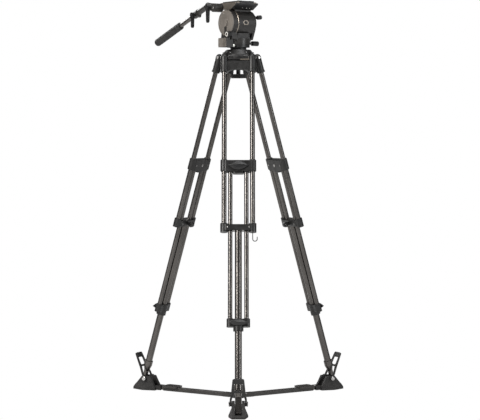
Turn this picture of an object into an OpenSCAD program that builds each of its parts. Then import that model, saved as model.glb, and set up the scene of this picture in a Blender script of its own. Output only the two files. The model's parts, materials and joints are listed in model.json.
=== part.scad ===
// Video tripod with a fluid head, a two-stage leg set and a ground spreader.
// Millimetres, +Z up. The origin is on the floor, under the centre of the crown.
// Each leg is drawn in its own frame: origin at its hinge pin, +Z up along the leg, -Y outwards.

/* [Stance] */
// Angle of each leg from the vertical
leg_angle = 16.6; // [15:0.1:18]
// Distance of each leg's hinge pin from the centre
hinge_radius = 51.5; // [47:0.5:52]
// Height of the hinge pins above the floor
hinge_height = 1257; // [1200:1:1320]

/* [Leg tubes] */
// Diameter of the two upper tubes
upper_tube_d = 18; // [16:0.5:20]
// Distance between the two upper tubes
upper_spacing = 102; // [98:1:112]
// Diameter of the two middle tubes
middle_tube_d = 16; // [14:0.5:17]
// Distance between the two middle tubes
middle_spacing = 57.6; // [56:0.2:62]
// Diameter of the single lower tube
lower_tube_d = 25; // [22:0.5:27]
// Wall of every tube
tube_wall = 1.6; // [1.2:0.1:2.5]
// Distance of the upper clamp below the hinge pin
upper_clamp_drop = 392; // [360:1:430]
// Distance of the guide collar below the hinge pin
guide_drop = 625; // [600:1:650]
// Distance of the lower clamp below the hinge pin
lower_clamp_drop = 968; // [930:1:1000]
// Distance of the foot's socket below the hinge pin
socket_drop = 1198; // [1190:1:1205]

/* [Leg castings] */
// Wall of the castings round a tube
cast_wall = 4.5; // [3.5:0.5:5.5]
// Height of the upper clamp
upper_clamp_h = 43; // [38:1:48]
// Height of the guide collar at its ends
guide_h = 32; // [28:1:38]
// Height of the lower clamp at its ends
lower_clamp_h = 28; // [24:1:34]
// Depth of the guide collar, front to back
guide_depth = 34; // [32:1:38]
// Length of a lock knob
lock_l = 72; // [60:1:76]
// Height of a lock knob
lock_w = 33; // [26:1:36]
// How far a lock knob stands out
lock_t = 8; // [5:0.5:10]

/* [Foot and block] */
// Width of the foot's tongue
tongue_w = 17.6; // [14:0.2:20]
// Diameter of the foot's socket
socket_d = 32; // [30:0.5:34]
// Length of the block outside the foot's pin line
block_out = 43; // [40:1:46]
// Length of the block inside the foot's pin line
block_in = 54; // [50:1:56]
// Width of the block's cheeks
block_w = 45; // [44:1:46]
// Width across the block's wings
wing_w = 69; // [62:1:74]
// Height of the block's cheeks
block_h = 52; // [50:1:54]
// Thickness of each cheek
cheek_t = 9.8; // [8:0.1:10.5]
// Thickness of the block's floor
block_floor = 12; // [8:0.5:14]
// Length of the foot strap
strap_l = 103; // [98:1:110]
// Thickness of the foot strap
strap_t = 5; // [4:0.5:6]
// Lean of the foot strap from the vertical
strap_lean = 25.5; // [25:0.5:30]

/* [Spreader] */
// Width of an arm's sleeve
sleeve_w = 25; // [22:0.5:28]
// Height of an arm's sleeve
sleeve_h = 15; // [13:0.5:15.5]
// Wall of an arm's sleeve
sleeve_wall = 2.2; // [1.6:0.1:3]
// Distance of the sleeves' outer end from the centre
sleeve_reach = 322; // [300:1:326]
// Distance of the rods' outer end from the centre
rod_reach = 351; // [346:0.5:352]
// Radius of the hub's disc
hub_r = 22; // [20:0.5:23]
// Distance of the arm pivots from the centre
arm_pivot_r = 32; // [31.5:0.5:36]
// Length of the pad on each arm
pad_l = 64; // [40:1:70]
// Width of the pad on each arm
pad_w = 48; // [36:1:52]
// Thickness of the pad on each arm
pad_t = 6; // [4:0.5:8]

/* [Crown] */
// Radius of the levelling ball
ball_r = 37.4; // [35:0.1:38]
// Height of the ball's centre above the hinge pins
ball_rise = 29; // [27:0.5:32]
// Radius of the crown's top rim
rim_r = 46; // [44:0.5:48]
// Diameter of the hinge pins
pin_d = 8; // [6:0.5:9]
// Radius of the barrel round each hinge pin
barrel_r = 12; // [10:0.5:12.5]
// Diameter of the knob under the bowl
bowl_knob_d = 62; // [50:1:66]
// Height of the top of the knob above the floor
bowl_knob_top = 1197; // [1192:1:1198]

/* [Fluid head] */
// Direction that the head is turned to
head_turn = 35.5; // [0:0.5:60]
// Height of the head's underside above the floor
head_bottom = 1295; // [1293:1:1300]
// Height of the tilt axis above the floor
tilt_height = 1385; // [1383:1:1392]
// Radius of the tilt drum
drum_r = 46; // [43:0.5:46.5]
// Radius of the left cheek
cheek_r = 47.5; // [46:0.5:49]
// Radius of the head's round base
base_r = 43; // [40:0.5:45]
// Distance of the left cheek's face from the centre
left_face = 53.5; // [50:0.5:56]
// Thickness of the left cheek
left_cheek_t = 25; // [20:0.5:27]
// Distance of the right cheek's face from the centre
right_face = 53.5; // [52:0.5:56]
// Thickness of the right cheek
right_cheek_t = 9; // [7:0.5:11]
// Width of the platform
platform_w = 102; // [96:1:106]
// Length of the platform's top
platform_l = 108; // [100:1:120]
// Length of the platform's underside
platform_foot_l = 44; // [38:1:56]
// Height of the platform
platform_h = 24; // [20:0.5:26]
// Width of the camera plate
plate_w = 66; // [56:1:70]
// Length of the camera plate
plate_l = 112; // [90:1:130]
// Thickness of the camera plate above the platform
plate_t = 7; // [6:0.5:9]
// Diameter of the camera screw
stud_d = 9.5; // [6.3:0.1:9.6]
// Length of the camera screw above the plate
stud_l = 5; // [4:0.5:7]

/* [Pan bar] */
// Diameter of the pan bar's tubes
bar_d = 17; // [14:0.5:18]
// Diameter of the grip
grip_d = 28.6; // [24:0.2:32]
// Length of the grip
grip_l = 178; // [120:1:190]
// Slope of the pan bar below the horizontal
bar_slope = 19.8; // [10:0.1:35]
// Length of the pan bar's front tube
front_tube_l = 94; // [90:1:110]
// Length of the pan bar's rear tube that shows ahead of the grip
rear_tube_l = 98; // [70:1:120]

/* [Fit] */
// Radial clearance of a running fit
running_fit = 0.08; // [0.03:0.01:0.1]
// Gap between parts that move past each other
gap = 0.4; // [0.3:0.05:0.6]

/* [Hidden] */
$fn = 48;
HULL_FN = 32;
// Azimuth of each leg about the centre
FRONT = 0;
LEFT = 240;
RIGHT = 120;
upper_x = upper_spacing / 2;
middle_x = middle_spacing / 2;
upper_r = upper_tube_d / 2;
middle_r = middle_tube_d / 2;
lower_r = lower_tube_d / 2;
socket_r = upper_r + cast_wall;
rim_t = 1.2;
yoke_bottom = 57;
crossbar_top = barrel_r + 5;
crossbar_bottom = 46;
crossbar_t = 16;
tube_top = pin_d / 2 + 3;
barrel_half = upper_x - socket_r - gap;
guide_bottom = guide_drop + guide_h;
guide_mid_h = guide_h * 0.66;
window_half = middle_x - middle_r + 3.2;
window_depth = lower_tube_d + 1.2;
saddle_h = 22;
saddle_top = guide_drop + 5;
clamp_lobe_r = middle_r + cast_wall;
lower_lobe_r = lower_r + cast_wall + 1;
lower_clamp_tip = lower_clamp_h + 14;
face_y = socket_r + 1;
lock_y = face_y + gap;
lower_lock_y = lower_lobe_r + gap;
stud_r = 4;
tongue_t = 12;
foot_floor_gap = 0.3;
tongue_tip_z = block_floor + foot_floor_gap + tongue_t / 2;
tongue_tip_drop = (hinge_height - tongue_tip_z) / cos(leg_angle);
socket_taper_drop = socket_drop + 18;
socket_end_drop = socket_drop + 42;
foot_r = hinge_radius + (hinge_height - tongue_tip_z) * tan(leg_angle);
block_r = foot_r - 13;
strap_pivot_y = 10;
strap_pivot_z = 44;
strap_pin_r = 5;
strap_eye_r = 8;
strap_eye_t = 7;
lug_half = 10.4;
lug_t = 5.4;
lug_reach = 22;
rod_w = sleeve_w - 2 * sleeve_wall - 2 * gap;
rod_h = sleeve_h - 2 * sleeve_wall - 2 * gap;
sleeve_bottom = 0.8;
arm_z = sleeve_bottom + sleeve_h / 2;
rod_inner = 150;
hub_tab_t = 8;
hub_h = 16;
arm_pin_r = 3;
ball_z = hinge_height + ball_rise;
shoulder_r = hinge_radius + barrel_r + 2;
cup_r = ball_r + gap;
ball_neck_r = 30;
stem_r = 8;
thread_r = 5;
cup_opening_r = 22;
cheek_clear_r = cheek_r + 1;
platform_z = tilt_height + cheek_clear_r;
platform_top = platform_z + platform_h;
groove_w = plate_w - 12;
groove_d = 5;
rail_w = 10;
rail_h = 3;
base_h = 12;
housing_z = head_bottom + base_h + gap;
housing_top = housing_z + 22;
drum_left = left_face - left_cheek_t - gap;
drum_right = right_face - right_cheek_t - gap;
trunnion_r = 12;
box_face = 72;
box_half = 26;
drag_box_h = 34;
knob_r = 12;
knob_y = -26;
knob_z = head_bottom + drag_box_h + gap + knob_r;
rosette_x = platform_w / 2;
rosette_y = 38;
plate_lock_y = 26;
rosette_z = platform_z + 8;
rosette_r = 16;
rosette_t = 10;
bar_x = rosette_x + rosette_t + gap + 13;
bar_block_r = 13;
bend_y = 52;
bend_z = 10;
bar_rise = atan((bend_z - 2) / bend_y);
bar_clamp_r = 13;
bar_clamp_l = 30;
bar_bore_start = 4;
extension_start = 56;
lever_y = 25;
lever_hub_l = 12;

// ---- Frames ----

module in_leg(azimuth) {
  rotate([0, 0, azimuth])
    translate([0, -hinge_radius, hinge_height])
      rotate([-leg_angle, 0, 0])
        children();
}

module in_block(azimuth) {
  rotate([0, 0, azimuth])
    translate([0, -block_r, 0])
      children();
}

module in_head() {
  rotate([0, 0, head_turn])
    children();
}

module in_bar() {
  in_head()
    translate([-bar_x, rosette_y, rosette_z])
      children();
}

// ---- Shared shapes ----

// A solid rod along X, centred on the origin
module x_rod(r, l) {
  rotate([0, 90, 0])
    cylinder(r = r, h = l, center = true);
}

// A rod along the leg, from one distance below the hinge pin to another
module leg_rod(r, from, to) {
  translate([0, 0, -to])
    cylinder(r = r, h = to - from);
}

module leg_tube(r, from, to) {
  difference() {
    leg_rod(r, from, to);
    leg_rod(r - tube_wall, from - 1, to + 1);
  }
}

module both_sides(x) {
  for (side = [-1, 1])
    translate([side * x, 0, 0])
      children();
}

// A leaf outline with two points, as wide as l and as tall as w
module leaf(l, w) {
  arc_r = (l * l / 4 + w * w / 4) / w;
  intersection() {
    translate([0, arc_r - w / 2]) circle(r = arc_r, $fn = 96);
    translate([0, w / 2 - arc_r]) circle(r = arc_r, $fn = 96);
  }
}

// A rounded rectangle outline
module rounded_outline(w, h, r) {
  hull()
    for (x = [-1, 1], y = [-1, 1])
      translate([x * (w / 2 - r), y * (h / 2 - r)])
        circle(r = r, $fn = HULL_FN);
}

// A hand lever: round hub along X, blade down
module wing_lever(hub_r, hub_l, blade_l, blade_w) {
  x_rod(hub_r, hub_l);
  hull() {
    translate([0, 0, -hub_r]) x_rod(blade_w / 2, hub_l * 0.6, $fn = HULL_FN);
    translate([0, 0, -blade_l + blade_w / 2]) x_rod(blade_w / 2 - 1, hub_l * 0.5, $fn = HULL_FN);
  }
}

// ---- Upper stage of a leg ----

module yoke() {
  color("#2c2b2a")
    difference() {
      union() {
        both_sides(upper_x) {
          leg_rod(socket_r, 0, yoke_bottom);
          leg_rod(socket_r + rim_t, yoke_bottom - 7, yoke_bottom);
          sphere(r = socket_r);
        }
        translate([-upper_x, -crossbar_t / 2, -crossbar_bottom - 8])
          cube([upper_spacing, crossbar_t, crossbar_bottom + 8 - crossbar_top]);
      }
      // arched underside of the crossbar
      translate([0, 0, -crossbar_bottom - 78])
        rotate([90, 0, 0])
          cylinder(r = 78, h = crossbar_t + 2, center = true, $fn = 120);
      both_sides(upper_x) leg_rod(upper_r + running_fit, tube_top - 1, yoke_bottom + 1);
      x_rod(pin_d / 2 + running_fit, upper_spacing + 4 * socket_r);
    }
}

module upper_tubes() {
  color("#3a3836")
    both_sides(upper_x)
      leg_tube(upper_r, tube_top, guide_bottom - 2);
}

module guide_collar() {
  mid_top = guide_drop + (guide_h - guide_mid_h) / 2;
  color("#262524")
    difference() {
      union() {
        both_sides(upper_x) leg_rod(socket_r, guide_drop, guide_bottom);
        translate([0, 0, -mid_top - guide_mid_h])
          linear_extrude(guide_mid_h)
            rounded_outline(upper_spacing + 6, guide_depth, 12);
        // ring for a mid-level spreader
        translate([0, guide_depth / 2 + 15, -mid_top - guide_mid_h / 2]) x_rod(10, 10);
        translate([-4, guide_depth / 2 - 2, -mid_top - guide_mid_h / 2 - 6]) cube([8, 12, 12]);
      }
      both_sides(upper_x) leg_rod(upper_r + running_fit, guide_drop - 1, guide_bottom - 2);
      both_sides(middle_x) leg_rod(middle_r + running_fit, guide_drop - 1, guide_bottom + 1);
      translate([-window_half, -window_depth / 2, -guide_bottom - 1])
        cube([2 * window_half, window_depth, guide_h + 2]);
      translate([0, guide_depth / 2 + 15, -mid_top - guide_mid_h / 2]) x_rod(3.2, 12);
    }
}

// A bent steel hook for cables, hung under one end of a guide collar
module cable_hook() {
  wire_r = 1.5;
  bend_r = 8;
  color("#2a2928")
    translate([upper_x, -socket_r + 4, -guide_bottom]) {
      translate([0, 0, -26]) cylinder(r = wire_r, h = 26);
      translate([bend_r, 0, -26])
        rotate([90, 0, 0])
          rotate([0, 0, 180])
            rotate_extrude(angle = 180, $fn = 48)
              translate([bend_r, 0]) circle(r = wire_r, $fn = 16);
      translate([2 * bend_r, 0, -26]) cylinder(r = wire_r, h = 8);
    }
}

// ---- Middle stage of a leg ----

module upper_clamp() {
  bottom = upper_clamp_drop + upper_clamp_h;
  color("#262524")
    difference() {
      union() {
        translate([0, 0, -upper_clamp_drop - upper_clamp_h / 2]) lock_stud(lock_y);
        both_sides(upper_x) leg_rod(socket_r, upper_clamp_drop, bottom - 4);
        translate([0, 0, -bottom])
          linear_extrude(upper_clamp_h - 2)
            rounded_outline(upper_spacing + 8, 2 * face_y, 12);
        // skirt under the middle
        translate([0, 0, -bottom - 7])
          linear_extrude(8)
            rounded_outline(40, 2 * face_y - 6, 8);
      }
      both_sides(upper_x) leg_rod(upper_r + running_fit, upper_clamp_drop - 1, bottom + 1);
      both_sides(middle_x) leg_rod(middle_r + running_fit, upper_clamp_drop + 3, bottom + 8);
    }
}

module middle_tubes() {
  color("#4a4643")
    both_sides(middle_x)
      leg_tube(middle_r, upper_clamp_drop + 4, lower_clamp_drop + lower_clamp_h - 2);
}

module lower_clamp() {
  bottom = lower_clamp_drop + lower_clamp_h;
  color("#262524")
    difference() {
      union() {
        difference() {
          translate([0, 0, -lower_clamp_drop - lower_clamp_h / 2]) lock_stud(lower_lock_y);
          leg_rod(lower_r + 1, lower_clamp_drop - 1, bottom + 1);
        }
        both_sides(middle_x) leg_rod(clamp_lobe_r, lower_clamp_drop, bottom);
        leg_rod(lower_lobe_r, lower_clamp_drop, lower_clamp_drop + lower_clamp_tip);
        translate([-middle_x, -clamp_lobe_r, -bottom])
          cube([middle_spacing, 2 * clamp_lobe_r, lower_clamp_h]);
      }
      both_sides(middle_x) leg_rod(middle_r + running_fit, lower_clamp_drop - 1, bottom - 2);
      leg_rod(lower_r + running_fit, lower_clamp_drop - 1, lower_clamp_drop + lower_clamp_tip + 1);
    }
}

// The stud that a lock knob turns on, out of a clamp whose knob sits at reach
module lock_stud(reach) {
  rotate([90, 0, 0]) translate([0, 0, reach - 6]) cylinder(r = stud_r, h = lock_t + 4);
}

// A leaf-shaped knob that turns on a stud out of the clamp's face
module lock_knob(l, w) {
  rotate([90, 0, 0])
    difference() {
      union() {
        linear_extrude(lock_t * 0.6) leaf(l, w);
        translate([0, 0, lock_t * 0.6]) linear_extrude(lock_t * 0.4) leaf(l * 0.86, w * 0.8);
      }
      translate([0, 0, -1]) cylinder(r = stud_r + running_fit, h = lock_t);
    }
}

module upper_lock() {
  color("#1c1b1b")
    translate([0, -lock_y, -upper_clamp_drop - upper_clamp_h / 2])
      lock_knob(lock_l, lock_w);
}

module lower_lock() {
  color("#1c1b1b")
    translate([0, -lower_lock_y, -lower_clamp_drop - lower_clamp_h / 2])
      lock_knob(lock_l * 0.96, lock_w * 0.7);
}

// ---- Lower stage, foot and block ----

module lower_leg() {
  color("#3a3836") {
    leg_tube(lower_r, saddle_top + saddle_h - 4, socket_taper_drop);
    // saddle that rides between the middle tubes
    difference() {
      translate([-window_half + gap, -window_depth / 2 + gap + 1, -saddle_top - saddle_h])
        cube([2 * (window_half - gap), window_depth - 2 * gap - 2, saddle_h]);
      both_sides(middle_x) leg_rod(middle_r + gap, saddle_top - 1, saddle_top + saddle_h + 1);
      leg_rod(lower_r, saddle_top + saddle_h - 4, saddle_top + saddle_h + 1);
    }
    // cast socket and tongue
    difference() {
      union() {
        leg_rod(socket_d / 2, socket_drop, socket_taper_drop);
        translate([0, 0, -socket_end_drop])
          cylinder(r1 = tongue_w / 2, r2 = socket_d / 2, h = socket_end_drop - socket_taper_drop);
        translate([-tongue_w / 2, -tongue_t / 2, -tongue_tip_drop])
          cube([tongue_w, tongue_t, tongue_tip_drop - socket_taper_drop]);
        translate([0, 0, -tongue_tip_drop]) x_rod(tongue_t / 2, tongue_w);
      }
      leg_rod(lower_r + running_fit, socket_drop - 1, socket_taper_drop + gap);
    }
  }
}

module foot_block() {
  half_w = block_w / 2;
  half_wing = wing_w / 2;
  ridge_in = 32;
  ridge_out = 4;
  color("#3d3b39")
    difference() {
      union() {
        // tent: long slopes, flared sides and a six-sided foot print
        intersection() {
          rotate([90, 0, 90])
            linear_extrude(wing_w + 2, center = true)
              polygon([
                [-block_out, 0], [block_in, 0], [block_in, 12], [ridge_in, block_h],
                [-ridge_out, block_h], [-block_out, 8]
              ]);
          rotate([90, 0, 0])
            linear_extrude(2 * block_in + 2, center = true)
              polygon([
                [-half_wing, 0], [half_wing, 0], [half_wing, 5], [half_w, block_h / 2],
                [half_w, block_h], [-half_w, block_h], [-half_w, block_h / 2],
                [-half_wing, 5]
              ]);
          linear_extrude(block_h + 1)
            polygon([
              [-half_w, -block_out], [half_w, -block_out], [half_wing, 2],
              [half_wing, 12], [half_w, block_in], [-half_w, block_in],
              [-half_wing, 12], [-half_wing, 2]
            ]);
        }
        // pins that carry the strap, with heads
        translate([0, strap_pivot_y, strap_pivot_z]) {
          x_rod(strap_pin_r, block_w + 2 * strap_eye_t + 4);
          both_sides(half_w + strap_eye_t + 2) x_rod(strap_eye_r + 1, 2);
        }
        // lugs on each side of the arm's end
        both_sides(lug_half + lug_t / 2)
          translate([-lug_t / 2, block_in - 2, 2])
            cube([lug_t, lug_reach + 2, sleeve_h + 2]);
      }
      // space for the foot's tongue
      translate([-half_w + cheek_t, -2 * block_out, block_floor])
        cube([block_w - 2 * cheek_t, 4 * block_out, block_h]);
    }
}

module foot_strap() {
  eye_x = block_w / 2 + 0.4 + strap_eye_t / 2;
  frame_w = 49;
  top_w = 41;
  frame_s = 48;
  window_s = 69;
  window_w = 30;
  window_l = 30;
  color("#2b2a29")
    translate([0, strap_pivot_y, strap_pivot_z])
      rotate([strap_lean, 0, 0])
        difference() {
          union() {
            both_sides(eye_x) x_rod(strap_eye_r, strap_eye_t);
            // legs that bend in from the eyes to the frame
            for (side = [0, 1])
              mirror([side, 0, 0])
                rotate([90, 0, 0])
                  linear_extrude(strap_t, center = true)
                    polygon([
                      [eye_x - strap_eye_t / 2, -2], [eye_x + strap_eye_t / 2, -2],
                      [eye_x + strap_eye_t / 2, 18], [frame_w / 2, frame_s],
                      [frame_w / 2 - 9.5, frame_s], [eye_x - strap_eye_t / 2, 18]
                    ]);
            // frame round the finger window
            rotate([90, 0, 0])
              linear_extrude(strap_t, center = true)
                hull() {
                  translate([-frame_w / 2, frame_s - 1]) square([frame_w, 6]);
                  for (side = [-1, 1])
                    translate([side * (top_w / 2 - 7), strap_l - 7])
                      circle(r = 7, $fn = HULL_FN);
                }
          }
          both_sides(eye_x) x_rod(strap_pin_r + running_fit, strap_eye_t + 2);
          translate([0, 0, window_s])
            rotate([90, 0, 0])
              linear_extrude(strap_t + 2, center = true)
                rounded_outline(window_w, window_l, 4);
        }
}

// ---- Spreader ----

module spreader_hub() {
  color("#2b2a29") {
    translate([0, 0, 0]) cylinder(r = hub_r, h = hub_h);
    for (azimuth = [FRONT, LEFT, RIGHT])
      rotate([0, 0, azimuth]) {
        translate([-hub_tab_t / 2, -arm_pivot_r, 1.5]) cube([hub_tab_t, arm_pivot_r, sleeve_h - 2]);
        translate([0, -arm_pivot_r, arm_z]) {
          x_rod(sleeve_h / 2 - 1, hub_tab_t);
          x_rod(arm_pin_r, sleeve_w);
        }
      }
  }
}

module arm_sleeve() {
  fork_depth = 22;
  body_start = arm_pivot_r + fork_depth;
  color("#4b4744")
    difference() {
      union() {
        translate([0, -body_start, arm_z])
          rotate([90, 0, 0])
            linear_extrude(sleeve_reach - body_start)
              rounded_outline(sleeve_w, sleeve_h, 3);
        // fork on the hub's tab
        difference() {
          union() {
            translate([0, -arm_pivot_r, arm_z]) x_rod(sleeve_h / 2, sleeve_w);
            translate([-sleeve_w / 2, -body_start - 6, sleeve_bottom])
              cube([sleeve_w, fork_depth + 6, sleeve_h]);
          }
          translate([-hub_tab_t / 2 - gap, -body_start + 6, -1])
            cube([hub_tab_t + 2 * gap, body_start, sleeve_h + 4]);
          translate([0, -arm_pivot_r, arm_z]) x_rod(arm_pin_r + running_fit, sleeve_w + 2);
        }
        // pad on the clamp
        translate([0, -sleeve_reach + pad_l / 2, sleeve_bottom + sleeve_h - 1])
          linear_extrude(pad_t)
            rounded_outline(pad_w, pad_l, 4);
      }
      translate([-rod_w / 2 - gap, -sleeve_reach - 1, arm_z - rod_h / 2 - gap])
        cube([rod_w + 2 * gap, sleeve_reach - body_start - 6, rod_h + 2 * gap]);
    }
}

module arm_rod() {
  color("#55504c") {
    translate([-rod_w / 2, -rod_reach, arm_z - rod_h / 2])
      cube([rod_w, rod_reach - rod_inner, rod_h]);
    // wedge that stops the clamp
    translate([0, -rod_reach + 14, arm_z + rod_h / 2])
      rotate([90, 0, 90])
        linear_extrude(10, center = true)
          polygon([[-8, -1], [8, -1], [2, 6], [-4, 6]]);
  }
}

// ---- Crown and bowl ----

module crown() {
  skirt_z = hinge_height - 20;
  color("#262524")
    difference() {
      union() {
        rotate_extrude($fn = 96)
          polygon([
            [0, skirt_z], [34, skirt_z], [40, skirt_z + 8], [44, hinge_height + 4],
            [50, ball_z - 12], [rim_r + 2, ball_z - 5], [rim_r, ball_z], [0, ball_z]
          ]);
        for (azimuth = [FRONT, LEFT, RIGHT])
          rotate([0, 0, azimuth])
            translate([0, -hinge_radius, hinge_height]) x_rod(barrel_r, 2 * barrel_half);
        // domed shoulders from the bowl out over the barrels
        intersection() {
          rotate_extrude($fn = 96)
            polygon([
              [0, hinge_height - 4], [shoulder_r, hinge_height - 4], [shoulder_r, hinge_height + 3],
              [shoulder_r - 4, hinge_height + 12], [rim_r + 6, ball_z - 7],
              [rim_r, ball_z], [0, ball_z]
            ]);
          for (azimuth = [FRONT, LEFT, RIGHT])
            rotate([0, 0, azimuth])
              translate([-barrel_half, -shoulder_r - 4, hinge_height - 5])
                cube([2 * barrel_half, shoulder_r, ball_rise + 6]);
        }
      }
      translate([0, 0, ball_z]) sphere(r = cup_r, $fn = 96);
      translate([0, 0, skirt_z - 1]) cylinder(r = cup_opening_r, h = 40);
      for (azimuth = [FRONT, LEFT, RIGHT])
        rotate([0, 0, azimuth])
          translate([0, -hinge_radius, hinge_height])
            x_rod(pin_d / 2 + running_fit, 2 * barrel_half + 2);
    }
}

module hinge_pins() {
  color("#8a8580")
    for (azimuth = [FRONT, LEFT, RIGHT])
      rotate([0, 0, azimuth])
        translate([0, -hinge_radius, hinge_height])
          x_rod(pin_d / 2, upper_spacing + 2 * socket_r - 4);
}

module levelling_ball() {
  color("#33312f")
    intersection() {
      union() {
        translate([0, 0, ball_z]) sphere(r = ball_r, $fn = 96);
        translate([0, 0, ball_z - 2]) cylinder(r = ball_neck_r, h = head_bottom - ball_z + 2);
        translate([0, 0, bowl_knob_top]) cylinder(r = stem_r, h = ball_z - bowl_knob_top - 20);
        translate([0, 0, bowl_knob_top - 12]) cylinder(r = thread_r, h = 20);
      }
      union() {
        translate([0, 0, ball_z - 27]) cylinder(r = ball_r + 1, h = 27);
        translate([0, 0, ball_z - 3]) cylinder(r = ball_neck_r, h = head_bottom - ball_z + 3);
        translate([0, 0, bowl_knob_top - 12]) cylinder(r = stem_r, h = 80);
      }
    }
}

module bowl_knob() {
  color("#1d1c1c")
    translate([0, 0, bowl_knob_top - 15 - gap])
      difference() {
        union() {
          cylinder(r = bowl_knob_d / 2 - 8, h = 15);
          for (i = [0:4])
            rotate([0, 0, 72 * i])
              translate([bowl_knob_d / 2 - 10, 0, 0]) cylinder(r = 10, h = 15);
        }
        translate([0, 0, 2]) cylinder(r = thread_r + running_fit, h = 15);
      }
}

// ---- Fluid head ----

module head_base() {
  color("#2a2927")
    translate([0, 0, head_bottom]) {
      cylinder(r = base_r - 1, h = base_h, $fn = 96);
    }
}

module pan_housing() {
  axis_z = tilt_height;
  color("#262523")
    in_head()
      difference() {
        union() {
          translate([0, 0, housing_z]) cylinder(r = base_r, h = 20, $fn = 96);
          // shoulders up to the cheeks
          translate([0, 0, housing_z + 16])
            rotate([90, 0, 90])
              translate([0, 0, -left_face])
                linear_extrude(left_cheek_t)
                  polygon([[-36, 0], [36, 0], [30, 40], [-30, 40]]);
          translate([0, 0, housing_z + 16])
            rotate([90, 0, 90])
              translate([0, 0, right_face - right_cheek_t])
                linear_extrude(right_cheek_t)
                  polygon([[-18, 0], [18, 0], [36, 40], [-36, 40]]);
          // cradle under the drum
          intersection() {
            translate([-left_face, -34, housing_z + 10]) cube([left_face + right_face, 68, 30]);
            translate([0, 0, housing_z]) cylinder(r1 = base_r + 6, r2 = base_r - 3, h = 42, $fn = 96);
          }
          // cheeks
          translate([-left_face + left_cheek_t / 2, 0, axis_z]) x_rod(cheek_r, left_cheek_t, $fn = 96);
          translate([right_face - right_cheek_t, 0, axis_z])
            rotate([0, 90, 0]) {
              cylinder(r = cheek_r - 1, h = right_cheek_t - 5, $fn = 96);
              translate([0, 0, right_cheek_t - 5])
                cylinder(r1 = cheek_r - 1, r2 = cheek_r - 7, h = 5, $fn = 96);
            }
          // drag housing on the left
          translate([-box_face, -box_half, head_bottom]) cube([box_face - base_r + 2, 2 * box_half, drag_box_h]);
        }
        translate([(drum_right - drum_left) / 2, 0, axis_z])
          x_rod(drum_r + gap, drum_left + drum_right + 2 * gap, $fn = 96);
        translate([0, 0, axis_z]) x_rod(trunnion_r + running_fit, 2 * left_face - 8);
        cylinder(r = base_r - 1 + gap, h = housing_z);
      }
}

module counterbalance_cover() {
  color("#8b8580")
    in_head()
      difference() {
        translate([-left_face - 2.2, 0, tilt_height]) {
          x_rod(cheek_r - 0.5, 4, $fn = 96);
          translate([-4, 0, 0]) x_rod(15, 6);
        }
        translate([-left_face, knob_y, knob_z]) x_rod(knob_r + 1.5, 20);
      }
}

module counterbalance_knob() {
  color("#1f1e1e")
    in_head()
      translate([-left_face - gap - 9, knob_y, knob_z])
        difference() {
          x_rod(knob_r, 18);
          translate([-9, 0, 0]) x_rod(knob_r - 4, 4);
        }
}

module pan_lock() {
  color("#1f1e1e")
    in_head()
      translate([base_r + gap + 14, 0, housing_z + 4]) {
        x_rod(5, 28);
        translate([18, 0, 0]) x_rod(9, 26);
      }
}

module tilt_lock() {
  color("#1f1e1e")
    in_head()
      translate([right_face + gap + 5, -14, tilt_height + 21]) {
        x_rod(9, 10);
        translate([3, 0, 0])
          rotate([90, 0, 0]) {
            cylinder(r = 5, h = 26);
            translate([0, 0, 22]) cylinder(r = 8, h = 18);
          }
      }
}

module tilt_drum() {
  color("#2a2826")
    in_head() {
      translate([(drum_right - drum_left) / 2, 0, tilt_height])
        x_rod(drum_r, drum_left + drum_right, $fn = 96);
      translate([0, 0, tilt_height]) x_rod(trunnion_r, 2 * left_face - 12);
      translate([-drum_left, -platform_foot_l / 2 + 4, tilt_height + 36])
        cube([drum_left + drum_right, platform_foot_l - 8, cheek_clear_r - 36]);
    }
}

module platform() {
  color("#8f857a") {
    in_head()
      difference() {
        translate([0, 0, platform_z])
          rotate([90, 0, 90])
            linear_extrude(platform_w, center = true)
              polygon([
                [-platform_foot_l / 2, 0], [platform_foot_l / 2, 0],
                [platform_l / 2, platform_h - 6], [platform_l / 2, platform_h],
                [-platform_l / 2, platform_h], [-platform_l / 2, platform_h - 6]
              ]);
        translate([-groove_w / 2, -platform_l, platform_top - groove_d])
          cube([groove_w, 2 * platform_l, groove_d + 1]);
      }
      // rails beside the camera plate
      in_head()
        both_sides(plate_w / 2 + gap + rail_w / 2)
          translate([-rail_w / 2, -platform_l / 2, platform_top - 1])
            cube([rail_w, platform_l, rail_h + 1]);
  }
}

module camera_plate() {
  color("#232221")
    in_head()
      translate([0, 0, platform_top]) {
        translate([-groove_w / 2 + gap, -plate_l / 2, -groove_d + gap])
          cube([groove_w - 2 * gap, plate_l, groove_d]);
        translate([0, 0, gap])
          linear_extrude(plate_t - gap)
            rounded_outline(plate_w, plate_l, 5);
        translate([0, 0, plate_t - 1]) cylinder(r = stud_d / 2, h = stud_l + 1);
      }
}

module plate_lock() {
  color("#1f1e1e")
    in_head()
      translate([platform_w / 2 + gap + 4, plate_lock_y, platform_top - 9]) {
        x_rod(7, 8);
        hull() {
          translate([1, 4, 0]) x_rod(4, 5, $fn = HULL_FN);
          translate([1, 28, -1]) x_rod(3, 4, $fn = HULL_FN);
        }
      }
}

module bar_rosette() {
  color("#2b2a29")
    in_head()
      translate([-rosette_x - rosette_t / 2, rosette_y, rosette_z])
        x_rod(rosette_r, rosette_t);
}

// ---- Pan bar ----

// Children placed a distance down the sloping part of the bar, their +Z along it
module along_bar(distance) {
  translate([0, bend_y, bend_z])
    rotate([-90 - bar_slope, 0, 0])
      translate([0, 0, distance])
        children();
}

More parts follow.
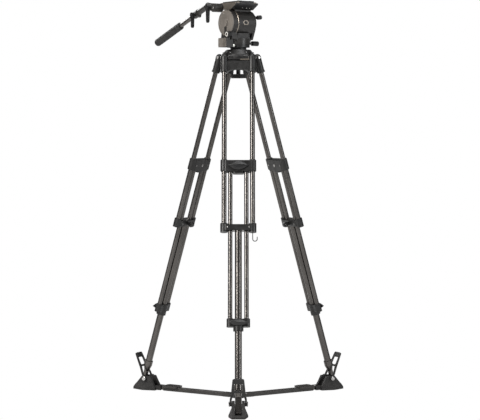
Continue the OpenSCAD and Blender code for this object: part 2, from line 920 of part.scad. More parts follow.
module pan_bar() {
  color("#2b2a29")
    in_bar() {
      x_rod(rosette_r, 2 * bar_block_r);
      translate([0, 0, 2])
        rotate([-90 + bar_rise, 0, 0])
          cylinder(r = bar_block_r - 1, h = (bend_y + 1) / cos(bar_rise));
      translate([0, bend_y, bend_z]) sphere(r = bar_block_r - 0.6);
      translate([0, lever_y, 0]) x_rod(10, 2 * bar_block_r);
      along_bar(0)
        difference() {
          union() {
            translate([0, 0, -6]) cylinder(r = bar_d / 2 + 2.5, h = front_tube_l - bar_clamp_l + 7);
            translate([0, 0, front_tube_l - bar_clamp_l]) cylinder(r = bar_clamp_r, h = bar_clamp_l);
            translate([0, 4, front_tube_l - bar_clamp_l / 2]) x_rod(9, 2 * bar_block_r + 2);
          }
          translate([0, 0, bar_bore_start]) cylinder(r = bar_d / 2 + running_fit, h = front_tube_l);
        }
    }
}

module bar_lever() {
  color("#2b2a29")
    in_bar()
      translate([-bar_block_r - gap - lever_hub_l / 2, lever_y, 0])
        wing_lever(9, lever_hub_l, 56, 17);
}

module bar_extension() {
  color("#6b6661")
    in_bar()
      along_bar(extension_start)
        cylinder(r = bar_d / 2, h = front_tube_l + rear_tube_l - extension_start);
}

module bar_grip() {
  color("#2e2c2a")
    in_bar()
      along_bar(front_tube_l + rear_tube_l + gap)
        cylinder(r = grip_d / 2, h = grip_l);
}

module extension_lever() {
  color("#2b2a29")
    in_bar()
      along_bar(front_tube_l - bar_clamp_l / 2)
        translate([-bar_block_r - 1 - gap - lever_hub_l / 2, 4, 0])
          rotate([90 + bar_slope, 0, 0])
            wing_lever(9, lever_hub_l, 50, 16);
}

// ---- Nodes ----

spreader_hub();
crown();
hinge_pins();
levelling_ball();
bowl_knob();
head_base();
pan_housing();
counterbalance_cover();
counterbalance_knob();
pan_lock();
tilt_lock();
tilt_drum();
platform();
camera_plate();
plate_lock();
bar_rosette();
pan_bar();
bar_lever();
bar_extension();
bar_grip();
extension_lever();
for (leg = [["front", FRONT], ["left", LEFT], ["right", RIGHT]]) {
  in_leg(leg[1]) yoke();
  in_leg(leg[1]) upper_tubes();
  in_leg(leg[1]) guide_collar();
  in_leg(leg[1]) upper_clamp();
  in_leg(leg[1]) upper_lock();
  in_leg(leg[1]) middle_tubes();
  in_leg(leg[1]) lower_clamp();
  in_leg(leg[1]) lower_lock();
  in_leg(leg[1]) lower_leg();
  in_block(leg[1]) foot_block();
  in_block(leg[1]) foot_strap();
  rotate([0, 0, leg[1]]) arm_sleeve();
  rotate([0, 0, leg[1]]) arm_rod();
}
in_leg(FRONT) cable_hook();  // front_guide_collar
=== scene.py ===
import json
import math

import bmesh
import bpy
from mathutils import Matrix, Vector


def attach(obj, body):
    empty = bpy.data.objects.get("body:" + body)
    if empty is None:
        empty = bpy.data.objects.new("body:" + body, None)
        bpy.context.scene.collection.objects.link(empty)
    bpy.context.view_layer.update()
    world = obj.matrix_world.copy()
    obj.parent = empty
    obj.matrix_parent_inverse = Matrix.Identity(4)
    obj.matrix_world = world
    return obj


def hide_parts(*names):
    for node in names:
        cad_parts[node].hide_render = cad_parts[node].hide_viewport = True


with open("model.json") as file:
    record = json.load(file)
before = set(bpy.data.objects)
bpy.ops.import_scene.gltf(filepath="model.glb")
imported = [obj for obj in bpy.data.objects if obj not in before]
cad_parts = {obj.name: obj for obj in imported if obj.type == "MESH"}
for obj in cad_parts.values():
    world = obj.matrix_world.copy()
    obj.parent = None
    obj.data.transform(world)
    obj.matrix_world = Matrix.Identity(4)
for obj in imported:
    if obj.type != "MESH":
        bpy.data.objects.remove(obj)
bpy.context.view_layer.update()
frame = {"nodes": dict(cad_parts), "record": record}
NODES = frame["nodes"]

# ---- Camera and stage ----

CAMERA_DISTANCE = 6.113
CAMERA_HEIGHT = 1.027
CAMERA_LENS = 123.9

camera_data = bpy.data.cameras.new("camera")
camera_data.lens = CAMERA_LENS
camera_data.sensor_width = 36.0
camera_data.shift_x = 0.0035
camera_data.shift_y = -0.1875
camera_data.clip_end = 60.0
camera = bpy.data.objects.new("camera", camera_data)
camera.location = (0.0, -CAMERA_DISTANCE, CAMERA_HEIGHT)
camera.rotation_euler = (math.radians(90.0), 0.0, 0.0)
bpy.context.scene.collection.objects.link(camera)
bpy.context.scene.camera = camera


def link(obj):
    bpy.context.scene.collection.objects.link(obj)
    return obj


def area_light(name, location, target, size, power, colour=(1.0, 1.0, 1.0)):
    data = bpy.data.lights.new(name, "AREA")
    data.shape = "RECTANGLE"
    data.size, data.size_y = size
    data.energy = power
    data.color = colour
    light = link(bpy.data.objects.new(name, data))
    light.location = location
    direction = Vector(target) - Vector(location)
    light.rotation_euler = direction.to_track_quat("-Z", "Y").to_euler()
    return light


area_light("key_light", (-3.4, -3.2, 3.4), (0.0, 0.0, 0.7), (0.7, 2.8), 230.0, (1.0, 0.98, 0.95))
area_light("fill_light", (3.6, -2.4, 2.0), (0.0, 0.0, 0.8), (0.7, 2.8), 60.0, (0.96, 0.98, 1.0))
area_light("rim_light", (-2.4, 3.6, 2.8), (0.0, 0.0, 0.9), (1.4, 2.4), 90.0)
area_light("top_light", (0.4, -0.6, 4.2), (0.0, 0.0, 1.0), (2.0, 2.0), 60.0)


# ---- Materials ----

class Shader:
    """A small helper that wires one procedural material."""

    def __init__(self, name):
        self.material = bpy.data.materials.new(name)
        self.material.use_nodes = True
        self.tree = self.material.node_tree
        self.tree.nodes.clear()
        self.output = self.tree.nodes.new("ShaderNodeOutputMaterial")
        self.coords = self.tree.nodes.new("ShaderNodeTexCoord").outputs["Object"]

    def node(self, kind, **inputs):
        node = self.tree.nodes.new(kind)
        for key, value in inputs.items():
            socket = node.inputs[key.replace("_", " ")]
            if isinstance(value, bpy.types.NodeSocket):
                self.tree.links.new(value, socket)
            else:
                socket.default_value = value
        return node

    def noise(self, scale, detail=3.0, roughness=0.5, stretch=None):
        coords = self.coords
        if stretch:
            mapping = self.node("ShaderNodeMapping", Vector=coords)
            mapping.inputs["Scale"].default_value = stretch
            coords = mapping.outputs["Vector"]
        node = self.node("ShaderNodeTexNoise", Vector=coords, Scale=scale, Detail=detail, Roughness=roughness)
        return node.outputs["Fac"]

    def ramp(self, fac, low, high, start=0.35, end=0.65):
        node = self.tree.nodes.new("ShaderNodeMapRange")
        node.inputs["From Min"].default_value = start
        node.inputs["From Max"].default_value = end
        node.inputs["To Min"].default_value = low
        node.inputs["To Max"].default_value = high
        self.tree.links.new(fac, node.inputs["Value"])
        return node.outputs["Result"]

    def mix(self, fac, low, high):
        node = self.tree.nodes.new("ShaderNodeMix")
        node.data_type = "RGBA"
        for index, value in ((0, fac), (6, low), (7, high)):
            if isinstance(value, bpy.types.NodeSocket):
                self.tree.links.new(value, node.inputs[index])
            elif index == 0:
                node.inputs[index].default_value = value
            else:
                node.inputs[index].default_value = (*value, 1.0)
        return node.outputs[2]

    def edge_mask(self, radius):
        """1 on sharp edges, 0 on flat faces."""
        bevel = self.tree.nodes.new("ShaderNodeBevel")
        bevel.samples = 4
        bevel.inputs["Radius"].default_value = radius
        geometry = self.tree.nodes.new("ShaderNodeNewGeometry")
        dot = self.tree.nodes.new("ShaderNodeVectorMath")
        dot.operation = "DOT_PRODUCT"
        self.tree.links.new(bevel.outputs["Normal"], dot.inputs[0])
        self.tree.links.new(geometry.outputs["Normal"], dot.inputs[1])
        return self.ramp(dot.outputs["Value"], 1.0, 0.0, 0.80, 0.97)

    def finish(self, colour, rough, metallic, bump=None, bump_strength=0.1, bump_distance=0.0003, **extra):
        principled = self.tree.nodes.new("ShaderNodeBsdfPrincipled")
        for key, value in (("Base Color", colour), ("Roughness", rough), ("Metallic", metallic)):
            if isinstance(value, bpy.types.NodeSocket):
                self.tree.links.new(value, principled.inputs[key])
            else:
                principled.inputs[key].default_value = value
        for key, value in extra.items():
            principled.inputs[key.replace("_", " ")].default_value = value
        if bump is not None:
            node = self.node("ShaderNodeBump", Height=bump)
            node.inputs["Strength"].default_value = bump_strength
            node.inputs["Distance"].default_value = bump_distance
            self.tree.links.new(node.outputs["Normal"], principled.inputs["Normal"])
        self.tree.links.new(principled.outputs["BSDF"], self.output.inputs["Surface"])
        return self.material


def painted(name, base, rough=(0.38, 0.55), edge_highlight=0.35, metallic=0.0, grain=900.0, bump=0.25):
    """Powder coat or satin paint: fine orange peel, faint dust, and a painted highlight that lightens sharp edges."""
    shader = Shader(name)
    cloud = shader.noise(14.0, 4.0, 0.6)
    dull, bright = (tuple(c * share for c in base) for share in (0.82, 1.18))
    dust = shader.mix(shader.ramp(cloud, 0.0, 1.0), dull, bright)
    # Painted highlight: sharp edges are mixed toward a lighter colour, as if rounded edges caught the light.
    edge = shader.node("ShaderNodeMath", Value=shader.edge_mask(0.0009))
    edge.operation = "MULTIPLY"
    edge.inputs[1].default_value = edge_highlight
    colour = shader.mix(edge.outputs[0], dust, tuple(min(1.0, c * 3.2 + 0.02) for c in base))
    roughness = shader.ramp(shader.noise(60.0, 3.0), rough[0], rough[1])
    return shader.finish(colour, roughness, metallic, shader.noise(grain, 2.0), bump, 0.0002)


def anodised(name, base, rough=(0.24, 0.34), metallic=0.75, stretch=(1.0, 1.0, 0.04)):
    """Drawn tube: fine lines along its length under a dark anodised layer."""
    shader = Shader(name)
    lines = shader.noise(700.0, 3.0, 0.6, stretch)
    cloud = shader.ramp(shader.noise(9.0, 3.0), 0.0, 1.0)
    colour = shader.mix(cloud, tuple(c * 0.85 for c in base), tuple(c * 1.15 for c in base))
    roughness = shader.ramp(lines, rough[0], rough[1])
    return shader.finish(colour, roughness, metallic, lines, 0.12, 0.0001)


def rubber(name, base, scale=500.0, rough=(0.6, 0.8), bump=0.5):
    shader = Shader(name)
    fine = shader.noise(scale, 4.0, 0.65)
    cloud = shader.ramp(shader.noise(22.0, 4.0), 0.0, 1.0)
    # Painted highlight: sharp edges are mixed toward a lighter colour, as if rounded edges caught the light.
    edge = shader.node("ShaderNodeMath", Value=shader.edge_mask(0.0012))
    edge.operation = "MULTIPLY"
    edge.inputs[1].default_value = 0.3
    dust = shader.mix(cloud, tuple(c * 0.8 for c in base), tuple(c * 1.25 for c in base))
    colour = shader.mix(edge.outputs[0], dust, tuple(min(1.0, c * 2.4 + 0.015) for c in base))
    roughness = shader.ramp(fine, rough[0], rough[1])
    return shader.finish(colour, roughness, 0.0, fine, bump, 0.0003)


# The fourth argument of painted() sets the strength of the painted edge highlight.
MATERIALS = {
    "black_casting": painted("black_casting", (0.012, 0.0117, 0.0115), (0.34, 0.5)),
    "head_paint": painted("head_paint", (0.026, 0.0245, 0.023), (0.30, 0.44), 0.45),
    "tube_metal": anodised("tube_metal", (0.115, 0.108, 0.102), (0.20, 0.30), 0.9),
    "dark_plastic": painted("dark_plastic", (0.010, 0.010, 0.0105), (0.32, 0.46), 0.2, 0.0, 420.0, 0.15),
    "rubber_black": rubber("rubber_black", (0.018, 0.0175, 0.017)),
    "block_rubber": rubber("block_rubber", (0.020, 0.019, 0.0185), 260.0),
    "steel": anodised("steel", (0.50, 0.49, 0.48), (0.2, 0.32), 1.0, (0.05, 1.0, 1.0)),
    # On the cover disc this light warm grey is a painted reflection.
    "warm_grey_trim": painted("warm_grey_trim", (0.20, 0.18, 0.16), (0.35, 0.5), 0.25, 0.3, 600.0, 0.15),
    "champagne_metal": anodised("champagne_metal", (0.34, 0.30, 0.255), (0.28, 0.4), 0.8, (1.0, 0.05, 1.0)),
    "vial_white": painted("vial_white", (0.75, 0.78, 0.74), (0.15, 0.25), 0.1, 0.0, 300.0, 0.05),
    "scale_white": painted("scale_white", (0.62, 0.60, 0.56), (0.3, 0.4), 0.1, 0.0, 300.0, 0.05),
    "spreader_metal": painted("spreader_metal", (0.045, 0.042, 0.040), (0.36, 0.5), 0.5, 0.3),
}

NODE_SLOTS = {part["node"]: part["material_slot"] for part in frame["record"]["subparts"]}
for node_name, node_object in NODES.items():
    node_object.data.materials.clear()
    node_object.data.materials.append(MATERIALS[NODE_SLOTS[node_name]])

# ---- Floor and background ----

floor_mesh = bpy.data.meshes.new("floor")
builder = bmesh.new()
bmesh.ops.create_grid(builder, x_segments=1, y_segments=1, size=30.0)
builder.to_mesh(floor_mesh)
builder.free()
floor = link(bpy.data.objects.new("floor", floor_mesh))
floor.location = (0.0, 0.0, -0.0005)
floor_shader = Shader("floor_white")
diffuse = floor_shader.node("ShaderNodeBsdfDiffuse")
diffuse.inputs["Color"].default_value = (0.9, 0.9, 0.9, 1.0)
glow = floor_shader.node("ShaderNodeEmission")
glow.inputs["Color"].default_value = (1.0, 1.0, 1.0, 1.0)
glow.inputs["Strength"].default_value = 1.0
rays = floor_shader.tree.nodes.new("ShaderNodeLightPath")
floor_mix = floor_shader.node("ShaderNodeMixShader", Fac=rays.outputs["Is Camera Ray"])
floor_shader.tree.links.new(diffuse.outputs["BSDF"], floor_mix.inputs[1])
floor_shader.tree.links.new(glow.outputs["Emission"], floor_mix.inputs[2])
floor_shader.tree.links.new(floor_mix.outputs["Shader"], floor_shader.output.inputs["Surface"])
floor_mesh.materials.append(floor_shader.material)

world = bpy.data.worlds.new("world")
bpy.context.scene.world = world
world.use_nodes = True
background = world.node_tree.nodes["Background"]
background.inputs["Color"].default_value = (1.0, 1.0, 1.0, 1.0)
world_rays = world.node_tree.nodes.new("ShaderNodeLightPath")
strength = world.node_tree.nodes.new("ShaderNodeMapRange")
world.node_tree.links.new(world_rays.outputs["Is Camera Ray"], strength.inputs["Value"])
strength.inputs["To Min"].default_value = 0.14
strength.inputs["To Max"].default_value = 1.0
world.node_tree.links.new(strength.outputs["Result"], background.inputs["Strength"])
bpy.context.scene.view_settings.view_transform = "Standard"

# ---- Frames of the moving groups, as the solids have them ----

MM = Matrix.Scale(0.001, 4)
LEG_AZIMUTHS = {"front": 0.0, "left": 240.0, "right": 120.0}
LEG_ANGLE = 16.6
HINGE_RADIUS = 51.5
HINGE_HEIGHT = 1257.0
BLOCK_RADIUS = 407.77
HEAD_TURN = 35.5
BAR_SLOPE = 19.8


def turn(angle, axis):
    return Matrix.Rotation(math.radians(angle), 4, axis)


def move(x, y, z):
    return Matrix.Translation((x, y, z))


def leg_frame(leg):
    return MM @ turn(LEG_AZIMUTHS[leg], "Z") @ move(0, -HINGE_RADIUS, HINGE_HEIGHT) @ turn(-LEG_ANGLE, "X")


def arm_frame(leg):
    return MM @ turn(LEG_AZIMUTHS[leg], "Z")


def block_frame(leg):
    return arm_frame(leg) @ move(0, -BLOCK_RADIUS, 0)


HEAD = MM @ turn(HEAD_TURN, "Z")
BAR = HEAD @ move(-74.4, 38.0, 1441.5)
BAR_RUN = BAR @ move(0, 52, 10) @ turn(-90 - BAR_SLOPE, "X")

# ---- Mesh helpers ----

SMOOTH_ANGLE = math.radians(35.0)


def piece(name, mesh_builder, matrix, body, slot_name, bevel=0.0, segments=2, material=None):
    """Turns a bmesh drawn in millimetres into a finished piece that rides on a body."""
    bmesh.ops.recalc_face_normals(mesh_builder, faces=mesh_builder.faces)
    mesh = bpy.data.meshes.new(name)
    mesh_builder.to_mesh(mesh)
    mesh_builder.free()
    mesh.transform(matrix)
    mesh.shade_smooth()
    mesh.set_sharp_from_angle(angle=SMOOTH_ANGLE)
    obj = link(bpy.data.objects.new(name, mesh))
    mesh.materials.append(material or MATERIALS[slot_name])
    if bevel:
        rounding = obj.modifiers.new("rounding", "BEVEL")
        rounding.width = bevel * 0.001
        rounding.segments = segments
        rounding.limit_method = "ANGLE"
        rounding.angle_limit = math.radians(30.0)
        rounding.harden_normals = True
    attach(obj, body)
    return obj


def add_skin(bm, rows):
    """Joins closed rows of corners into one skin, with a face on each end."""
    bm.faces.new(rows[0][::-1])
    bm.faces.new(rows[-1])
    count = len(rows[0])
    for low, high in zip(rows, rows[1:]):
        for i in range(count):
            j = (i + 1) % count
            bm.faces.new((low[i], low[j], high[j], high[i]))


def add_prism(bm, outline, low, high, matrix=Matrix.Identity(4)):
    """A prism over an outline in XY, from one height to another."""
    bottom = [bm.verts.new(matrix @ Vector((x, y, low))) for x, y in outline]
    top = [bm.verts.new(matrix @ Vector((x, y, high))) for x, y in outline]
    add_skin(bm, [bottom, top])


def add_lathe(bm, profile, matrix=Matrix.Identity(4), steps=48):
    """A profile of (radius, height) turned about +Z; ends at radius 0 close by themselves."""
    rings = []
    for radius, height in profile:
        if radius < 1e-6:
            rings.append([bm.verts.new(matrix @ Vector((0, 0, height)))])
            continue
        ring = []
        for i in range(steps):
            angle = 2 * math.pi * i / steps
            corner = Vector((radius * math.cos(angle), radius * math.sin(angle), height))
            ring.append(bm.verts.new(matrix @ corner))
        rings.append(ring)
    for low, high in zip(rings, rings[1:]):
        for i in range(steps):
            j = (i + 1) % steps
            corners = []
            for vert in (low[i % len(low)], low[j % len(low)], high[j % len(high)], high[i % len(high)]):
                if vert not in corners:
                    corners.append(vert)
            if len(corners) > 2:
                bm.faces.new(corners)
    return bm


def box_outline(width, depth, corner, steps=4):
    points = []
    for cx, cy, start in ((1, 1, 0), (-1, 1, 90), (-1, -1, 180), (1, -1, 270)):
        for i in range(steps + 1):
            angle = math.radians(start + 90.0 * i / steps)
            points.append((cx * (width / 2 - corner) + corner * math.cos(angle),
                           cy * (depth / 2 - corner) + corner * math.sin(angle)))
    return points


def lathe(name, profile, matrix, body, slot_name, steps=48, **options):
    return piece(name, add_lathe(bmesh.new(), profile, steps=steps), matrix, body, slot_name, **options)


TO_X = turn(90, "Y")
TO_MINUS_X = turn(-90, "Y")
TO_MINUS_Y = turn(90, "X")
TO_PLUS_Y = turn(-90, "X")


def socket_screw(bm, matrix, radius=3.0, head=2.0):
    """A cap screw with a hexagonal socket, its head standing on +Z."""
    add_lathe(bm, [(radius * 0.55, head * 0.35), (radius * 0.55, head), (radius * 0.86, head),
                   (radius, head * 0.8), (radius, -0.6)], matrix, 20)
    add_lathe(bm, [(0, head * 0.35), (radius * 0.56, head * 0.35)], matrix, 6)


def leaf_knob(name, matrix, length, width, height, body):
    """A domed leaf-shaped lock knob with a raised spine."""
    bm = bmesh.new()
    across, along = 14, 40
    rows = []
    for i in range(along + 1):
        u = -1 + 2 * i / along
        half = max(0.6, width / 2 * (1 - u * u))
        row = []
        for j in range(across + 1):
            v = -1 + 2 * j / across
            dome = (1 - abs(v) ** 3) * (0.35 + 0.65 * (1 - u * u))
            spine = 0.18 * math.exp(-(v / 0.22) ** 2) * (1 - u * u)
            row.append(bm.verts.new((u * length / 2, v * half, height * (0.30 + 0.62 * dome + spine))))
        rows.append(row)
    for a, b in zip(rows, rows[1:]):
        for j in range(across):
            bm.faces.new((a[j], b[j], b[j + 1], a[j + 1]))
    rim = [rows[i][0] for i in range(along + 1)] + rows[-1][1:]
    rim += [rows[i][-1] for i in range(along - 1, -1, -1)] + rows[0][-2:0:-1]
    base = [bm.verts.new((vert.co.x * 0.97, vert.co.y * 0.97, 0.0)) for vert in rim]
    count = len(rim)
    for i in range(count):
        j = (i + 1) % count
        bm.faces.new((rim[i], rim[j], base[j], base[i]))
    bm.faces.new(base)
    return piece(name, bm, matrix, body, "dark_plastic")

# ---- Sizes of the solids that the pieces seat on, in millimetres ----

UPPER_TUBE_X = 51.0
UPPER_TUBE_R = 9.0
MIDDLE_TUBE_X = 28.8
MIDDLE_TUBE_R = 8.0
UPPER_CLAMP_TOP = -392.0
UPPER_CLAMP_Z = -413.5
UPPER_TUBE_SEAL_Z = -431.0
UPPER_CLAMP_BOTTOM = -435.0
GUIDE_Z = -641.0
LOWER_CLAMP_TOP = -968.0
LOWER_CLAMP_Z = -982.0
CLAMP_BACK_Y = 14.5
GUIDE_FACE_Y = 17.0
PIN_END_X = 64.4
BOWL_RIM_Z = 1286.0
HUB_TOP = 16.0
PAD_TOP = 20.8
PAD_Y = -290.0
STRAP_PIN = (32.5, 10.0, 44.0)
TILT_Z = 1385.0
COVER_X = -55.5
PLATFORM_BOTTOM = 1433.5
PLATFORM_TOP = 1457.5
PLATE_T = 7.0
DRAG_BOX_X = -72.0
DRAG_BOX_Z = 1312.0
DRAG_KNOB = (-54.2, -26.0, 1341.4)
GRIP_START = 192.4

# ---- Legs ----


def tube_seals(bm, x, top, bottom, tube_r, flare):
    """A rubber ring round a tube above a casting and one below it."""
    bore = tube_r + 0.15
    ring = [(bore, -2.6), (flare - 1.4, -2.4), (flare - 0.2, -1.2), (flare, 0.0), (bore, 0.0), (bore, -2.6)]
    add_lathe(bm, ring, move(x, 0, bottom), 32)
    add_lathe(bm, [(r, -h) for r, h in ring], move(x, 0, top), 32)


def lock_knobs(leg, leg_matrix):
    upper = leg_matrix @ move(0, -14.9, UPPER_CLAMP_Z) @ TO_MINUS_Y
    knob = leaf_knob(leg + "_upper_knob_cap", upper, 72.0, 33.0, 10.5, leg + "_upper_knob")
    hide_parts(leg + "_upper_lock")
    lower = leg_matrix @ move(0, -18.9, LOWER_CLAMP_Z) @ TO_MINUS_Y
    knob = leaf_knob(leg + "_lower_knob_cap", lower, 69.0, 23.0, 9.5, leg + "_lower_knob")
    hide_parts(leg + "_lower_lock")


def leg_screws(leg, leg_matrix):
    bm = bmesh.new()
    socket_screw(bm, move(0, CLAMP_BACK_Y, UPPER_CLAMP_Z) @ TO_PLUS_Y, 5.0, 1.6)
    for x in (-40, 40):
        socket_screw(bm, move(x, CLAMP_BACK_Y, UPPER_CLAMP_Z) @ TO_PLUS_Y, 2.6, 1.2)
    piece(leg + "_upper_clamp_screws", bm, leg_matrix, leg + "_middle", "steel")
    bm = bmesh.new()
    socket_screw(bm, move(0, GUIDE_FACE_Y, GUIDE_Z - 6.0) @ TO_PLUS_Y, 2.8, 1.2)
    for x in (-39, 39):
        socket_screw(bm, move(x, GUIDE_FACE_Y, GUIDE_Z) @ TO_PLUS_Y, 2.6, 1.2)
        socket_screw(bm, move(x, -GUIDE_FACE_Y, GUIDE_Z) @ TO_MINUS_Y, 2.6, 1.2)
    piece(leg + "_guide_screws", bm, leg_matrix, leg + "_leg", "steel")


def leg_seals(leg, leg_matrix):
    bm = bmesh.new()
    for side in (-1, 1):
        tube_seals(bm, side * UPPER_TUBE_X, UPPER_CLAMP_TOP, UPPER_TUBE_SEAL_Z, UPPER_TUBE_R, 12.6)
    for side in (-1, 1):
        tube_seals(bm, side * MIDDLE_TUBE_X, LOWER_CLAMP_TOP, UPPER_CLAMP_BOTTOM, MIDDLE_TUBE_R, 11.8)
    piece(leg + "_tube_seals", bm, leg_matrix, leg + "_middle", "rubber_black")


def pin_nuts(leg, leg_matrix):
    bm = bmesh.new()
    for side in (-1, 1):
        profile = [(0, 1.4), (4.2, 1.4), (5.2, 0.6), (5.4, -0.5)]
        add_lathe(bm, profile, move(side * PIN_END_X, 0, 0) @ turn(side * 90, "Y"), 6)
    piece(leg + "_pin_nuts", bm, leg_matrix, leg + "_leg", "steel", bevel=0.3)


for leg in LEG_AZIMUTHS:
    lock_knobs(leg, leg_frame(leg))
    leg_screws(leg, leg_frame(leg))
    leg_seals(leg, leg_frame(leg))
    pin_nuts(leg, leg_frame(leg))

# ---- Ground spreader ----


def arm_pad(leg):
    """The clamp pad's top plate and its ribs."""
    # Painted highlight: the top plate and its ribs, in the spreader metal that is lighter than the black casting,
    # stand for the highlight on the pad's glossy top.
    bm = bmesh.new()
    add_prism(bm, box_outline(44.0, 50.0, 3.0), -0.5, 1.2, move(0, PAD_Y, PAD_TOP))
    piece(leg + "_pad_top", bm, arm_frame(leg), "spreader", "spreader_metal", bevel=0.4)
    bm = bmesh.new()
    for i in range(11):
        rib = move(0, PAD_Y - 20.0 + 4.0 * i, PAD_TOP)
        add_prism(bm, box_outline(38.0, 1.8, 0.5, 1), 1.0, 1.9, rib)
    piece(leg + "_pad_ribs", bm, arm_frame(leg), "spreader", "spreader_metal")


def block_details(leg):
    """Caps on the strap's pins, and grip ribs on the block's flared sides."""
    pin_x, pin_y, pin_z = STRAP_PIN
    bm = bmesh.new()
    for side in (-1, 1):
        add_lathe(bm, [(0, 1.5), (4.4, 1.4), (6.8, 0.9), (7.8, 0.0), (7.8, -0.6), (0, -0.6)],
                  move(side * pin_x, pin_y, pin_z) @ turn(side * 90, "Y"), 40)
    piece(leg + "_strap_pin_caps", bm, block_frame(leg), "spreader", "steel")
    bm = bmesh.new()
    for side in (-1, 1):
        flank = move(side * 27.6, 3.0, 7.51) @ turn(side * 60, "Y")
        for i in range(5):
            add_prism(bm, box_outline(1.6, 22.0 - 2.0 * i, 0.6, 1), 0.0, 1.0, flank @ move(-4.0 + 3.0 * i, 0, 0))
    piece(leg + "_block_grips", bm, block_frame(leg), "spreader", "block_rubber")


HUB_CAP = [(0, 2.2), (6.0, 2.2), (6.6, 1.6), (7.0, 0.9), (15.0, 0.9), (16.2, 0.5), (16.6, -0.6), (0, -0.6)]
lathe("hub_cap", HUB_CAP, MM @ move(0, 0, HUB_TOP), "spreader", "black_casting", steps=64)
for leg in LEG_AZIMUTHS:
    arm_pad(leg)
    block_details(leg)

# ---- Crown and bowl ----

RIM_RING = [(38.6, 0.15), (39.2, 0.6), (45.0, 0.6), (45.8, 0.1), (45.8, -0.6), (38.6, -0.6), (38.6, 0.15)]
lathe("bowl_rim_ring", RIM_RING, MM @ move(0, 0, BOWL_RIM_Z), "bowl", "steel", steps=96)
badge = bmesh.new()
add_prism(badge, box_outline(32.0, 10.0, 1.6), 0.0, 0.9)
piece("crown_badge_plate", badge, MM @ move(23, -61.6, 1252.0) @ TO_MINUS_Y, "bowl", "champagne_metal", bevel=0.3)
bm = bmesh.new()
for azimuth in LEG_AZIMUTHS.values():
    for x in (-30, 30):
        socket_screw(bm, turn(azimuth, "Z") @ move(x, -47.0, 1275.5), 3.0, 1.6)
piece("crown_screws", bm, MM, "bowl", "steel")
VIAL = MM @ turn(-20, "Z") @ move(0, -42.0, 1301.2) @ TO_MINUS_Y
VIAL_CASE = [(0, -3), (6.4, -3), (6.4, 7.0), (5.6, 7.6), (4.6, 7.6), (4.6, 6.4), (0, 6.4)]
lathe("level_vial_case", VIAL_CASE, VIAL, "ball", "black_casting", steps=32)
VIAL_FACE = [(0, 7.3), (2.6, 7.2), (4.4, 6.9), (4.4, 6.2), (0, 6.2)]
lathe("level_vial_face", VIAL_FACE, VIAL, "ball", "dark_plastic", steps=32, material=MATERIALS["vial_white"])

# ---- Fluid head ----

# The cover disc's light warm grey is a painted reflection: it stands for the light sectors that the disc's reflective
# face shows.
COVER_DISC = [(0, 6.4), (9.5, 6.4), (10.6, 5.6), (11.0, 4.6), (14.6, 4.4), (15.4, 3.6), (15.8, 2.2), (30.0, 2.7),
              (42.0, 2.2), (44.3, 1.2), (45.1, -0.4), (45.3, -2.0)]
COVER = HEAD @ move(COVER_X, 0, TILT_Z)
lathe("cover_disc", COVER_DISC, COVER @ TO_MINUS_X, "pan_body", "warm_grey_trim", steps=96)
# A dark band laid over the cover disc: painted shade for the darker sector of the disc's reflection.
band = bmesh.new()
add_prism(band, [(-6.2, -42.0), (6.2, -42.0), (7.6, -16.0), (-7.6, -16.0)], 1.0, 3.0)
BAND = COVER @ turn(90, "Z") @ turn(90, "X") @ turn(180, "Y")
piece("cover_painted_shade_band", band, BAND, "pan_body", "head_paint", bevel=0.4)
DRUM_RING = [(47.55, -1.8), (48.2, -1.4), (48.2, 1.0), (47.55, 1.4), (47.2, 1.4), (47.2, -1.8), (47.55, -1.8)]
lathe("drum_ring", DRUM_RING, HEAD @ move(-31.2, 0, TILT_Z) @ TO_X, "pan_body", "champagne_metal", steps=128)
DRUM_BAND = [(46.1, 40.6), (46.5, 40.2), (46.5, 38.6), (46.1, 38.2), (45.7, 38.2), (45.7, 40.6), (46.1, 40.6)]
lathe("drum_bands", DRUM_BAND, HEAD @ move(0, 0, TILT_Z) @ TO_X, "tilt_body", "head_paint", steps=128)


def drum_plate(name, scale, radius, slot_name):
    """A thin six-sided plate that follows the drum's round face."""
    bm = bmesh.new()
    rows = []
    for i in range(-6, 7):
        y = 8.3 * scale * i / 6
        half = (13.5 - 6.75 * abs(i) / 6) * scale
        out = math.sqrt(radius * radius - y * y)
        low = out - 1.2
        corners = ((-half, y, low), (half, y, low), (half, y, out), (-half, y, out))
        rows.append([bm.verts.new(corner) for corner in corners])
    add_skin(bm, rows)
    piece(name, bm, HEAD @ move(2, 0, TILT_Z) @ TO_MINUS_Y, "tilt_body", slot_name)


drum_plate("drum_emblem", 1.0, 46.25, "champagne_metal")
drum_plate("drum_emblem_field", 0.66, 46.33, "dark_plastic")

KNOB_PROFILE = [(0, 16.5), (4.2, 16.5), (4.6, 17.2), (8.2, 17.6), (9.4, 17.2), (10.2, 16.0), (11.3, 14.5), (11.3, 1.0),
                (10.4, 0.0), (0, 0.0)]
KNOB_RING = [(5.0, 17.7), (8.2, 17.9), (8.8, 17.4), (5.0, 17.2), (5.0, 17.7)]
KNOB = HEAD @ move(*DRAG_KNOB) @ TO_MINUS_X
drag = lathe("drag_knob_body", KNOB_PROFILE, KNOB, "drag_knob", "dark_plastic", steps=72)
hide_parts("counterbalance_knob")
lathe("drag_knob_ring", KNOB_RING, KNOB, "drag_knob", "dark_plastic", material=MATERIALS["scale_white"])
ribs = bmesh.new()
for i in range(24):
    add_prism(ribs, [(10.9, -0.6), (11.75, -0.35), (11.75, 0.35), (10.9, 0.6)], 1.5, 13.5, turn(15 * i, "Z"))
piece("drag_knob_ribs", ribs, KNOB, "drag_knob", "dark_plastic")

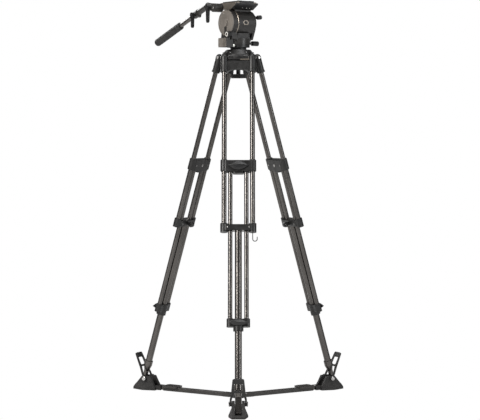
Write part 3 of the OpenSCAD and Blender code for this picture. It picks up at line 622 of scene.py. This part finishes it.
side = bmesh.new()
add_prism(side, box_outline(50.0, 32.0, 3.0), 0.0, 1.3)
SIDE = HEAD @ move(DRAG_BOX_X, 0, DRAG_BOX_Z) @ turn(-90, "Y") @ turn(90, "Z")
piece("drag_box_plate", side, SIDE, "pan_body", "warm_grey_trim", bevel=0.5)
ribs = bmesh.new()
for i in range(7):
    start = -24.0 + 2.6 * i
    add_prism(ribs, [(start, -13.0), (start + 1.2, -13.0), (start + 1.2, 13.0), (start, 13.0)], 1.0, 2.2)
piece("drag_box_ribs", ribs, SIDE, "pan_body", "warm_grey_trim", bevel=0.3)

front = bmesh.new()
slope = [(-22.6, 0.2), (-53.8, 17.7), (-54.4, 18.4), (-54.4, 23.2), (-53.9, 23.2), (-53.4, 18.6), (-22.0, 1.1)]
ends = [[front.verts.new((x, y, PLATFORM_BOTTOM + z)) for y, z in slope] for x in (-50.4, 50.4)]
add_skin(front, ends)
piece("platform_front_cover", front, HEAD, "tilt_body", "dark_plastic", bevel=0.25)
marks = bmesh.new()
for x in (-5.7, 12.5, 26.3):
    mark = move(x, -34.0, PLATFORM_BOTTOM + 6.6) @ turn(61, "X")
    add_lathe(marks, [(0, 0.8), (1.7, 0.8), (2.0, 0.4), (2.0, -0.6)], mark, 20)
piece("platform_marks", marks, HEAD, "tilt_body", "dark_plastic", material=MATERIALS["scale_white"])
pads = bmesh.new()
for x in (-20, 0, 20):
    add_prism(pads, box_outline(12.0, 96.0, 2.0), PLATE_T, PLATE_T + 0.8, move(x, 0, PLATFORM_TOP))
piece("plate_pads", pads, HEAD, "plate", "rubber_black", bevel=0.2)
pads = bmesh.new()
for x in (-20, 20):
    for i in range(30):
        rib = move(x, -45.0 + 3.1 * i, PLATFORM_TOP)
        add_prism(pads, box_outline(10.5, 1.5, 0.4, 1), PLATE_T + 0.6, PLATE_T + 1.3, rib)
piece("plate_pad_ribs", pads, HEAD, "plate", "rubber_black")

# ---- Pan bar ----

GRIP = BAR_RUN @ move(0, 0, GRIP_START)
GRIP_PROFILE = [(0, 0.0), (9.0, 0.0), (12.6, 0.8), (13.6, 2.4), (14.3, 4.0), (14.3, 10.0), (13.7, 10.6), (13.7, 11.8),
                (14.3, 12.4), (14.3, 166.0), (13.7, 166.6), (13.7, 167.8), (14.3, 168.4), (14.3, 172.0),
                (13.4, 175.6), (11.0, 177.6), (0, 178.0)]
grip = lathe("grip_sleeve", GRIP_PROFILE, GRIP, "extension", "rubber_black", steps=64)
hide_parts("bar_grip")
bm = bmesh.new()
for i in range(36):
    add_prism(bm, [(14.0, -0.35), (14.45, -0.25), (14.45, 0.25), (14.0, 0.35)], 20.0, 160.0, turn(10 * i, "Z"))
piece("grip_flutes", bm, GRIP, "extension", "rubber_black")
teeth = bmesh.new()
for i in range(36):
    add_prism(teeth, [(9.5, -0.45), (16.1, -0.75), (16.1, 0.75), (9.5, 0.45)], -0.9, 0.35, turn(10 * i, "Z"))
piece("rosette_teeth", teeth, HEAD @ move(-61.0, 38.0, 1441.5) @ TO_MINUS_X, "tilt_body", "steel")
bm = bmesh.new()
socket_screw(bm, move(-13.0, 0, 0) @ TO_MINUS_X, 5.0, 2.2)
piece("bar_clamp_screw", bm, BAR, "bar", "steel")
bm = bmesh.new()
CLAMP_BAND = [(13.0, -0.9), (13.35, -0.6), (13.35, 0.6), (13.0, 0.9), (12.8, 0.9), (12.8, -0.9), (13.0, -0.9)]
for along in (66.0, 70.0, 86.0, 90.0):
    add_lathe(bm, CLAMP_BAND, move(0, 0, along), 48)
piece("bar_clamp_bands", bm, BAR_RUN, "bar", "head_paint")


# ---- Final update of the scene ----

bpy.context.view_layer.update()
